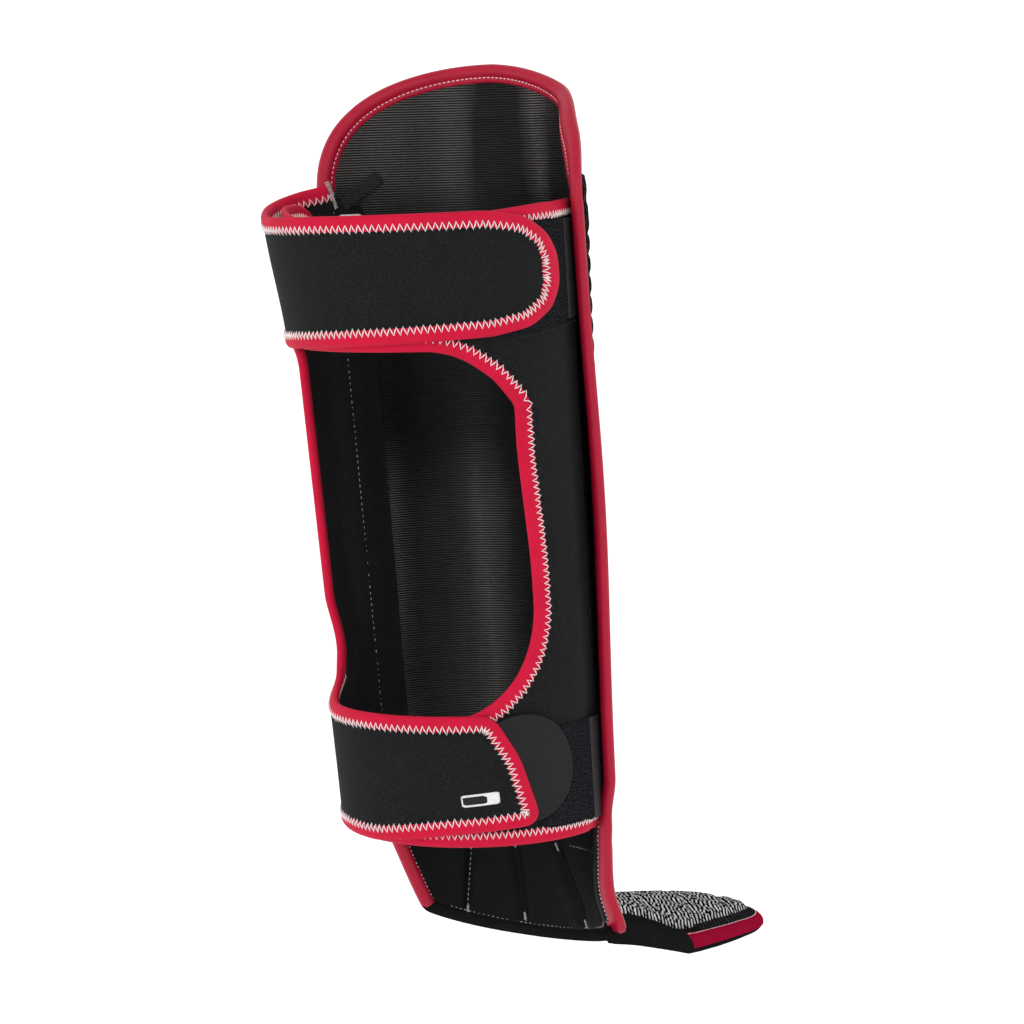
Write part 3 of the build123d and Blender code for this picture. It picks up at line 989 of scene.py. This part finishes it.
def far_keep(part):
    """Says which points of the far outline belong to the wing, the upper or the lower strap."""
    def value(points):
        angle = FAR_FOLD.angle(points[:, 0], points[:, 1])
        high = points[:, 1] > BETWEEN_STRAPS
        if part == "wing":
            return angle - np.where(high, UPPER_HINGE, LOWER_HINGE)
        hinge = UPPER_HINGE if part == "upper" else LOWER_HINGE
        return np.where(high == (part == "upper"), hinge - angle, -1.0)
    return value


def make_far_side():
    """The far wing and the two straps that are cut in one piece with it."""
    loop = outline(FAR_CORNERS, FAR_FOLD)

    def bound(points):
        return 281.8 - FAR_FOLD.angle(points[:, 0], points[:, 1])

    def thin(x, y):
        return 1.5 * smooth(270, 280, FAR_FOLD.angle(x, y))

    bound_piece(loop, far_keep("wing"), bound, FAR_FOLD, STRAP, ("far_wing", "far_seam_flange"), 5.0,
                thin=thin, inner_from=300.0)
    for part, hinge, up, seed in (("upper", UPPER_HINGE, 315.0, 7.0),
                                  ("lower", LOWER_HINGE, 100.0, 9.0)):
        strap = part + "_strap"
        ends = [tuple(FAR_FOLD(*FAR_FOLD.flat(a, up), 2.0)) for a in (hinge, hinge - HINGE_WIDTH)]
        bound_piece(loop, far_keep(part), bound, FAR_FOLD, STRAP, (strap,), seed,
                    bend=("root", strap, *ends))
    heights = np.linspace(347, 76, 400)
    seam = np.stack(FAR_FOLD.flat(np.full(400, FAR_SEAM), heights), -1)
    lines = dashes(seam, FAR_FOLD, 0.0, STRAP[0] - 0.1, pitch=2.75, length=1.5, sign=-1)
    sew("far_seam_stitch", lines, "grey_thread", 0.17)
    ends = [FAR_FOLD.flat(a, up) for a, up in ((277.5, 357.5), (280.3, 351), (281.5, 345.5))]
    sew("far_bar_tack", [bar_tack(FAR_FOLD, ends[0], ends[1], STRAP[0] - 1.1, 8, 2.6),
                         bar_tack(FAR_FOLD, ends[1], ends[2], STRAP[0] - 1.0, 7, 2.0)],
        radius=0.36)


# Panel --------------------------------------------------------------------------------------

PANEL = Fold(0, panel_lift)


def foot_curve(angle, up):
    """The panel's foot dips at its middle; `up` is the height there."""
    return up + 0.0042 * angle * angle


def panel_loop(inset=0.0, step=1.8):
    """The panel's outline, laid out flat and counter-clockwise, moved in by an inset."""
    corners = [(60.0, 16.4, 6), (76.5, 62, 60), (79.5, 345, 0)]
    peak, top_start, rise = -6.0, 350.0, 57.0
    quarters = ((85.0, 1.62, range(1, 90, 3)), (75.5, 2.05, range(90, 181, 3)))
    for half, power, degrees in quarters:
        for a in degrees:
            c, s = math.cos(math.radians(a)), math.sin(math.radians(a))
            side = math.copysign(abs(c) ** (2 / power), c)
            corners.append((peak + half * side, top_start + rise * s ** (2 / power), 0))
    corners += [(-81.5, 345, 0), (-79.0, 62, 60), (-60.0, 16.4, 6)]
    corners += [(a, foot_curve(a, 1.2), 0) for a in range(-54, 55, 6)]
    loop = outline(corners, PANEL, step)
    return grow(loop, inset) if inset else loop


def make_panel_edge():
    loop = panel_loop(step=1.5)
    red = longest(loop, lambda p: p[:, 1] - 17.3 + 2.6 * (p[:, 0] > 0))
    foot = longest(loop, lambda p: 18.0 - p[:, 1] - 2.6 * (p[:, 0] > 0))
    bead = [
        (7.5, 0.1), (7.2, -0.5), (5.9, -0.75), (5.1, -0.3), (4.4, -0.9), (2.6, -1.5), (0.7, -1.0),
        (-0.5, 0.3), (-0.9, 1.8), (-0.4, 3.3), (1.2, 4.2), (4.3, 4.0), (7.0, 3.2), (7.5, 1.8),
    ]
    piping = sweep("edge_piping_roll", resample(red, 1.5), PANEL, bead)
    finish_piece(piping, "red_piping", ("edge_piping",))
    inner = dashes(red, PANEL, 5.1, -0.35, pitch=2.4, length=1.6, sign=-1)
    sew("edge_topstitch", inner, radius=0.27)

    def rim_place(x, y, offset):
        thick = np.where(offset > 0, shell_height(x, y) / 9.0, 1.0)
        return PANEL(x, y, offset * thick)

    rim_profile = [
        (5.2, 0.2), (5.0, -0.6), (3.4, -1.1), (1.2, -0.9), (-0.4, 0.3), (-1.0, 2.2), (-0.9, 5.0),
        (0.2, 8.0), (3.0, 9.6), (7.0, 9.9), (8.0, 4.0),
    ]
    rim = sweep("ankle_rim_roll", resample(foot, 1.8), rim_place, rim_profile)
    finish_piece(rim, "cover_leatherette", ("ankle_rim",))


LINING_BACK = 1.6  # both linings' hidden face
LINING_SPLIT = 74.0  # height where the satin gives way to leatherette


def make_lining():
    """Satin lining with its soft folds."""
    upper = longest(panel_loop(7.0), lambda p: p[:, 1] - LINING_SPLIT)
    wave = soft_wave(4.0, (24, 75), 0.8)

    def creases(x, y, gap):
        """A line under the top edge, upright pulls towards it, and slack waves."""
        line = -ridge(y + 0.0012 * x * x, 385, 1.8) * smooth(62, 40, np.abs(x))
        pulls = 0.45 * np.sin(x / 6.1 + 0.7) * smooth(335, 375, y)
        folds = ridge(x - 0.05 * (y - 350), -34, 3.0) * smooth(320, 350, y)
        folds += 0.9 * ridge(x + 0.08 * (y - 350), 22, 4.0) * smooth(300, 350, y)
        return -0.3 + (line + pulls + folds + wave(x, y)) * smooth(0, 9, gap)

    satin = sheet_between("lining_satin", refine(upper, 2.0), PANEL, creases, LINING_BACK, roll=0.6,
                          spacing=2.4)
    finish_piece(satin, "satin_lining", ("lining",))


def make_ankle_lining():
    """Leatherette ankle lining: flat pads between three sewn channels that fan out to the foot."""
    lower = longest(panel_loop(4.4), lambda p: LINING_SPLIT - p[:, 1])
    channels = [np.array([PANEL.flat(top, 62), PANEL.flat(*foot)])
                for top, foot in ((-34, (-40, 12.5)), (-16, (-12.6, 8.8)), (1, (22.6, 9.2)))]
    wave = soft_wave(8.0, (17, 26), 0.7)

    def quilt(x, y, gap):
        depth = 0 * x
        for channel in channels:
            away = distance_to(np.stack([x, y], -1), channel, False)
            depth += 2.6 * ridge(away, 0, 1.5) - 0.5 * ridge(away, 5, 3.5)
        return -0.9 + (depth + wave(x, y)) * smooth(0, 4, gap)

    ankle = sheet_between("ankle_lining_pad", refine(lower, 2.0), PANEL, quilt, LINING_BACK, roll=1.4,
                          spacing=1.9)
    finish_piece(ankle, "smooth_leatherette", ("ankle_lining",))

    lines = dashes(resample(channels[0], 0.5), PANEL, 0.0, 0.55, pitch=2.5, length=1.4, sign=-1)
    knots = []
    for start, end in channels:
        up = (start - end) / np.hypot(*(start - end))
        top = start - up * (start[1] - 44.5) / up[1]
        knots += [bar_tack(PANEL, spot, spot + up * 4, -0.2, 4, 1.1) for spot in (end, top)]
    hem = [PANEL.flat(a, foot_curve(a, 7.2)) for a in np.linspace(-48, 54, 200)]
    shelf = [PANEL.flat(a, 48.0) for a in np.linspace(9, 52, 120)]
    for path in (hem, shelf):
        lines += dashes(np.array(path), PANEL, 0.0, -0.75, pitch=2.3, length=1.3, sign=-1)
    sew("ankle_stitch", lines, "grey_thread", 0.17)
    sew("ankle_knots", knots, radius=0.24)


def shell_height(x, y):
    """Thickness of the padded shell: thick over the shin bone, thin towards the edges."""
    turn = np.radians(PANEL.angle(x, y))
    return 2.0 * np.sin(turn) ** 2 + 11.0 * np.cos(turn) ** 4


def make_shell():
    """Padded shell, with a sewn groove round the raised bar and short flex lines at the ankle."""
    wave = soft_wave(12.0, (30, 36), 0.5)

    def padding(x, y, gap):
        groove = 0 * x
        for line in (32.0, -32.0):
            groove += 1.1 * ridge(x, line, 1.6) * smooth(14, 40, y) * smooth(396, 380, y)
        for line in (26.0, 44.0, 62.0):
            groove += 1.2 * ridge(y, line, 1.7) * smooth(60, 50, np.abs(x))
        return shell_height(x, y) + 1.6 + wave(x, y) - groove

    shell = sheet_between("shell_padded", panel_loop(6.8), PANEL, 1.7, padding, roll=3.0,
                          spacing=2.8, rings=(0.4, 1.2, 2.4))
    finish_piece(shell, "shell_leatherette", ("outer_shell", "shin_foam"))


def dome(gap, width):
    """Rises from 0 at the edge to 1 at a distance of width."""
    return np.sqrt(1 - (1 - np.clip(gap / width, 0, 1)) ** 2)


def make_cushion(name, node, look, corners, rise, crown, roll, seams=(), cap=1.2):
    """Crowned pad on the shell, sewn down along its edge and its cross seams."""
    height, reach = crown

    def top(x, y, gap):
        channels = sum((2.0 * ridge(y, line, 2.0) for line in seams), 0 * x)
        return shell_height(x, y) + rise + height * dome(gap, reach) - channels

    pad = sheet_between(name, rounded(corners, True, 1.8), PANEL, lifted(shell_height, 0.9), top,
                        roll=roll, spacing=2.6, rings=(0.4, 1.4, 3.0))
    x, y, gap, upper = LAYOUTS[name]
    sewn = ~upper | (gap < 2.0)
    for line in seams:
        sewn |= np.abs(y - line) < 1.6
    inflate(pad, sewn, cap)
    finish_piece(pad, look, (node,))


def make_cushions():
    """The raised woven bar down the front, and the darker cushions beside it."""
    bar = [(23, 33, 22.9), (23, 389, 22.9), (-23, 389, 22.9), (-23, 33, 22.9)]
    make_cushion("shin_bar_pad", "shin_bar", "woven_pad", bar, 2.2, (5.2, 12), 2.5,
                 range(75, 346, 45), 2.2)
    for side, part in ((1, "outer"), (-1, "inner")):
        corners = [(side * 36, 88, 12), (side * 66, 100, 12), (side * 66, 352, 14), (side * 36, 368, 12)]
        make_cushion(part + "_side_cushion", part + "_side_pad", "dark_woven_pad", corners, 1.6,
                     (2.0, 9), 1.6)


def patch(name, corners, fold, low, high, look, replaces=(), body="root", spacing=2.5,
          radius=1.0):
    """Flat piece of cloth with its corners given as (angle, height)."""
    loop = outline([(a, up, radius) for a, up in corners], fold, 1.5)
    piece = sheet_between(name, loop, fold, low, high, roll=0.4, spacing=spacing, rings=(0.4,))
    finish_piece(piece, look, replaces, body)


def box_corners(first, last, bottom, top):
    return [(first, bottom), (last, bottom), (last, top), (first, top)]


def make_patches():
    near, far = Fold(100), Fold(150, wing_lift)
    for name, pile, selvage in (
        ("upper_loop", [(84, 296.6), (119, 291.8), (119, 340.4), (84, 340.4)],
         [(71, 298.4), (84, 296.6), (84, 340.4), (71, 340.4)]),
        ("lower_loop", [(86, 74.6), (118, 75.6), (118, 121.6), (86, 120.8)],
         [(72, 73.6), (86, 74.6), (86, 120.8), (72, 120)]),
    ):
        patch(name + "_pile", pile, near, -0.2, 0.75, "loop_fabric", (name + "_patch",))
        patch(name + "_selvage", selvage, near, -0.2, 0.45, "selvage")
    for name, corners in (("upper", box_corners(108, 130, 304, 334)),
                          ("lower", box_corners(152, 172, 88, 112))):
        patch(name + "_hook_tape", corners, far, 0.85, 1.4, "loop_fabric", (name + "_hook_patch",),
              name + "_strap")
    patch("woven_label_blank", [(139.1, 90), (154.6, 88.6), (154.9, 94), (139.2, 95.6)], far, 3.9, 4.5,
          "label_white", ("woven_label",), "lower_strap", 1.5, 0.6)
    patch("woven_label_field", [(144.2, 90.4), (154.1, 89.5), (154.3, 93.2), (144.3, 94.3)], far, 4.3,
          4.62, "label_black", (), "lower_strap", 1.5, 0.3)
    patch("care_label_blank", box_corners(-77, -65, 326, 342.6), Fold(0), -3.7, -3.3, "label_white",
          ("care_label",), spacing=1.5)
    lines = []
    for ends in (((74, 296.4), (116, 290.8)), ((76, 342.6), (84, 342.2))):
        course = resample(np.array([near.flat(*end) for end in ends]), 0.5)
        lines += dashes(course, near, 0.0, 0.45, pitch=2.4, length=1.6)
    sew("loop_stitch", lines, "dark_thread", 0.15)


def make_ribbon():
    """Short ribbon that stands off the far edge by the strap's root."""
    fold = Fold(0)
    corners = [(-77, 347.5), (-73.5, 343), (-53.6, 356.6), (-57.8, 361.8)]
    loop = outline([(a, up, 0.9) for a, up in corners], fold, 1.0)

    def bow(x, y):
        return -2.9 - 2.6 * smooth(-86, -60, x) + 0.5 * np.sin((x + y) / 3.1)

    piece = sheet_between("pull_ribbon_loop", loop, fold, lifted(bow, -0.5), lifted(bow, 0.5),
                          roll=0.4, spacing=1.2, rings=(0.4,))
    finish_piece(piece, "elastic", ("pull_ribbon",))


def make_tab():
    """Rubber half-disc under the lower strap's slanted end, with a low rim."""
    fold = Fold(126)
    radius, height = 24.2, 104.2
    turn = np.linspace(0, 2 * math.pi, 90, endpoint=False)
    circle = np.stack([radius * np.cos(turn), height + radius * np.sin(turn)], -1)
    low, high = (np.array(fold.flat(a, up)) for a, up in ((123.6, 78.0), (137.5, 124.0)))
    along = (high - low) / np.linalg.norm(high - low)
    side = np.array([-along[1], along[0]])
    beyond = -((circle - low) @ side) - 4.5
    circle = circle + np.maximum(beyond, 0)[:, None] * side

    def face(x, y, gap):
        return 2.15 + 0.35 * smooth(0.2, 0.7, gap) * smooth(2.4, 1.7, gap)

    tab = sheet_between("grab_tab_rubber", resample(circle, 1.4, True), fold, 0.85, face, roll=0.5,
                        spacing=2.0, rings=(0.3, 0.8, 1.4, 2.0, 2.6))
    middle = (low + high) / 2
    ends = [tuple(fold(*spot, 2.0)) for spot in (middle, middle + side * 6)]
    finish_piece(tab, "tab_rubber", ("grab_tab",), bend=("lower_strap", "grab_tab", *ends))


# Instep -------------------------------------------------------------------------------------

INSTEP_HALF = 49.0
TOE = -220.0
TOE_START = -140.0
STATIONS = (-224.0, -196.0, -166.0, -136.0, -105.0, -68.0, -45.0, -20.0)
CROWN_Z = (-17.5, -10.7, -4.2, 2.0, 8.0, 17.4, 21.2, 24.0)
EDGE_Z = (-21.0, -17.0, -12.5, -9.8, -7.0, 6.0, 14.0, 20.0)
UNDER_Z = (-26.0, -23.0, -20.2, -18.4, -15.5, -5.0, 2.0, 9.5)
FAR_RISE = (0.0, 0.0, 0.0, 0.0, 1.8, 3.6, 5.0, 6.4)  # how much higher its far side ends
INSTEP_BEND = ("root", "instep", (0, -0.060, 0), (0, -0.084, 0))


def instep_loop(inset):
    """Plan of the instep, counter-clockwise; its back edge follows the panel's foot."""
    power = 2 / 2.9
    right = []
    for a in (math.pi / 2 * k / 48 for k in range(49)):
        right.append((INSTEP_HALF * math.cos(a) ** power,
                      TOE_START + (TOE - TOE_START) * math.sin(a) ** power))
    back = []
    for x in np.linspace(-49, 49, 70):
        reach, bend = (53.0, 3.4) if x > 0 else (49.25, 2.0)
        back.append((x, -62 * math.sqrt(1 - abs(x / reach) ** bend)))
    points = right + [(-x, y) for x, y in reversed(right)] + back
    return grow(counter_clockwise(resample(np.array(points), 1.8, True)), inset)


def arch(x, y):
    """Height of the instep's top face."""
    crown = np.interp(y, STATIONS, CROWN_Z)
    edge = np.interp(y, STATIONS, EDGE_Z)
    power = np.interp(y, [-117.0, -56.0], [1.7, 4.5])
    share = np.clip(np.abs(x) / INSTEP_HALF, 0, 1.05)
    return crown - (crown - edge) * share ** power


def instep_floor(x, y):
    """Height of the instep's under face: hollow over the foot, low along its sides."""
    side = np.interp(y, STATIONS, EDGE_Z) - np.interp(y, STATIONS, UNDER_Z)
    side = side - np.interp(y, STATIONS, FAR_RISE) * smooth(-10, 45, x)
    share = np.clip(np.abs(x) / INSTEP_HALF, 0, 1)
    toe = smooth(-190, -215, y)
    drop = 8.0 + (side - 8.0) * np.maximum(share ** 4, toe)
    return arch(x, y) - drop


def plan(x, y, z):
    return np.stack([x, y, z], -1) * MM


def make_instep():
    """Cover and lining."""
    slack = soft_wave(21.0, (26.0, 26.0), 0.9)
    cover = sheet_between("instep_cover_skin", instep_loop(0.8), plan, lifted(instep_floor, 0.0),
                          lambda x, y, gap: arch(x, y) + slack(x, y) * smooth(0, 8, gap), roll=3.4,
                          spacing=2.8, rings=(0.4, 1.2, 2.4))
    finish_piece(cover, "cover_leatherette", ("instep_cover", "instep_foam"),
                 bend=INSTEP_BEND)
    under = sheet_between("instep_lining_satin", instep_loop(8), plan, lifted(instep_floor, -0.9),
                          lifted(instep_floor, 0.2), roll=0.6)
    finish_piece(under, "satin_lining", ("instep_lining",), bend=INSTEP_BEND)


def make_instep_pad():
    """Woven pad over the instep, quilted in diamonds."""
    right = [(38, -50, 4), (40, -118, 30), (37, -172, 30), (28, -213, 18)]
    corners = right + [(-x, y, radius) for x, y, radius in reversed(right)] + [(0, -70, 50)]

    def quilting(x, y):
        """Distance to the nearest of the crossing quilt lines."""
        gaps = []
        for slope in (0.8, -0.8):
            phase = (slope * x + 0.6 * (y + 60)) / 24.0
            gaps.append(np.abs(phase - np.round(phase)) * 24.0)
        return np.minimum(*gaps)

    def top(x, y, gap):
        return arch(x, y) + 0.5 + 2.6 * dome(gap, 7) - 0.9 * ridge(quilting(x, y), 0, 1.4)

    pad = sheet_between("instep_woven_pad", rounded(corners, True, 1.8), plan, lifted(arch, -0.8),
                        top, roll=1.8, spacing=2.2, rings=(0.4, 1.2, 2.6, 4.4))
    x, y, gap, upper = LAYOUTS["instep_woven_pad"]
    inflate(pad, ~upper | (gap < 1.6) | (quilting(x, y) < 1.0), 0.7)
    finish_piece(pad, "woven_pad", ("instep_pad",), bend=INSTEP_BEND)


def make_toe_binding():
    path = resample(longest(instep_loop(1.6), lambda p: -108 - p[:, 1]), 1.6)

    def place(x, y, height):
        return plan(x, y, arch(x, y) + height)

    profile = [
        (3.4, -0.1), (3.2, 0.5), (2.0, 0.6), (0.8, 0.1), (-0.6, -0.9), (-1.4, -2.2), (-1.4, -3.8),
        (-0.4, -4.8), (1.2, -4.6), (2.6, -1.8),
    ]
    finish_piece(sweep("toe_binding_roll", path, place, profile), "toe_piping_painted_shade", ("toe_binding",),
                 "instep")
    sew("toe_topstitch", dashes(path, place, 2.3, 0.6), radius=0.2, body="instep")


def make_instep_under():
    """Mesh toe and elastic foot strap."""
    mesh_loop = longest(instep_loop(3.2), lambda p: -126 - p[:, 1])
    mesh = sheet_between("instep_mesh", refine(mesh_loop, 2.0), plan, lifted(arch, -0.5),
                         lifted(arch, 0.55), roll=0.6, spacing=2.8)
    finish_piece(mesh, "dark_woven_pad", body="instep")
    band = rounded([(41, -140, 1), (41, -104, 1), (-41, -104, 1), (-41, -140, 1)], True, 2.0)
    strap = sheet_between("foot_strap_elastic", band, plan, lifted(instep_floor, -1.6),
                          lifted(instep_floor, 0.2), roll=0.6)
    finish_piece(strap, "elastic", ("foot_strap",), "instep")


add_camera()
add_floor()
add_lighting()
make_near_wing()
make_far_side()
make_panel_edge()
make_lining()
make_ankle_lining()
make_shell()
make_cushions()
make_patches()
make_ribbon()
make_tab()
make_instep()
make_instep_pad()
make_toe_binding()
make_instep_under()

boxes = {"cad": cad_box, "visual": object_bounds()}
{name: [list(map(float, corner)) for corner in box] for name, box in boxes.items()}
